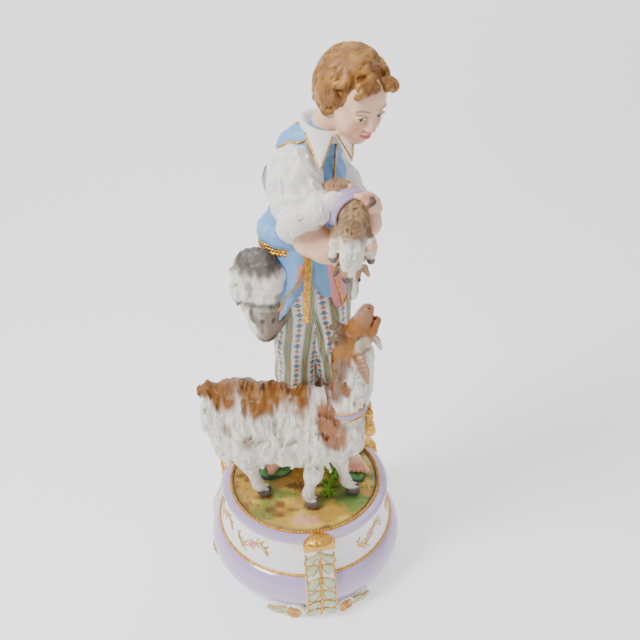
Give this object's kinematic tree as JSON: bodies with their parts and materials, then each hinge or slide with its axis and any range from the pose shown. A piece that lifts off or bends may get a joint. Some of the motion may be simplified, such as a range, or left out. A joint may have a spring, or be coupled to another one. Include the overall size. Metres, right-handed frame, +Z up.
{
  "type": "porcelain figurine",
  "caption": "Bisque porcelain shepherd boy nursing a kid beside a nanny goat, on a round glazed socle with acanthus feet that it lifts off.",
  "frame": {"origin": "on the table, at the middle of the socle", "axes": "+Z up, -Y towards the front, +X to the viewer's right"},
  "size_m": [0.2057, 0.2078, 0.5536],
  "materials": {
    "lilac_glaze": "glossy lilac ground with white reserve band, gilt lines and a painted flower spray",
    "gilding": "burnished gilding over beaded porcelain",
    "acanthus_paint": "white relief leaves tinted pale green with gilt edges",
    "painted_ground": "matt bisque painted in ochre, olive green and pink",
    "moss_paint": "matt bisque painted moss green",
    "leaf_paint": "matt bisque leaves painted bright green",
    "hat_paint": "matt bisque painted green with a cream cord",
    "bark_paint": "matt bisque painted brown bark",
    "flesh_paint": "matt bisque with a pale flesh wash and rouged cheeks",
    "breeches_paint": "matt white bisque with green and gold stripes and small flowers",
    "band_paint": "matt bisque ribbon at the knee",
    "waistcoat_paint": "matt blue bisque with gilt piping and a pink lining",
    "linen_paint": "matt white bisque linen with a gilt edge",
    "hair_paint": "matt golden brown modelled locks",
    "sash_paint": "matt gold yellow knitted sash",
    "bag_paint": "matt grey brown and white modelled fur",
    "kid_coat": "matt beige curly coat with dark patches",
    "lilac_cloth": "matt lilac paint with gilt edges",
    "goat_coat": "matt white modelled hair with chestnut patches",
    "goat_face": "matt golden brown coat with a grey muzzle and pink mouth"
  },
  "bodies": {
    "socle": {"socle_shell": "lilac_glaze", "bead_border": "gilding", "waist_bead_border": "gilding", "acanthus_bracket_front": "acanthus_paint", "scroll_pair_front": "acanthus_paint", "acanthus_bracket_right": "acanthus_paint", "scroll_pair_right": "acanthus_paint", "acanthus_bracket_left": "acanthus_paint", "scroll_pair_left": "acanthus_paint"},
    "figure": {"bag_body": "bag_paint", "bag_flap": "bag_paint", "breeches_left_leg": "breeches_paint", "breeches_right_leg": "breeches_paint", "breeches_seat": "breeches_paint", "goat_body": "goat_coat", "goat_collar": "lilac_cloth", "goat_ears": "goat_face", "goat_fore_far_leg": "goat_coat", "goat_fore_near_leg": "goat_coat", "goat_head": "goat_face", "goat_hind_far_leg": "goat_coat", "goat_hind_near_leg": "goat_coat", "goat_neck": "goat_face", "goat_tail": "goat_coat", "goat_tassel": "gilding", "ground_plinth": "painted_ground", "hair": "hair_paint", "hat_on_ground": "hat_paint", "head": "flesh_paint", "kid_blanket": "lilac_cloth", "kid_body": "kid_coat", "kid_forelegs": "kid_coat", "kid_head": "kid_coat", "leaf_tuft": "leaf_paint", "left_cuff": "linen_paint", "left_foot": "flesh_paint", "left_forearm": "flesh_paint", "left_hand": "flesh_paint", "left_knee_band": "band_paint", "left_shin": "flesh_paint", "left_sleeve": "linen_paint", "mossy_stone_left": "moss_paint", "mossy_stone_right": "moss_paint", "neck": "flesh_paint", "right_cuff": "linen_paint", "right_foot": "flesh_paint", "right_forearm": "flesh_paint", "right_hand": "flesh_paint", "right_knee_band": "band_paint", "right_shin": "flesh_paint", "right_sleeve": "linen_paint", "sash": "sash_paint", "sash_tail": "sash_paint", "shirt_collar": "linen_paint", "tree_stump": "bark_paint", "waistcoat": "waistcoat_paint", "waistcoat_skirt_left": "waistcoat_paint", "waistcoat_skirt_right": "waistcoat_paint"}
  },
  "joints": [
    {"name": "figure_lift", "type": "slide", "parent": "socle", "child": "figure", "axis": [0, 0, 1], "range_m": [0, 0.04]}
  ]
}
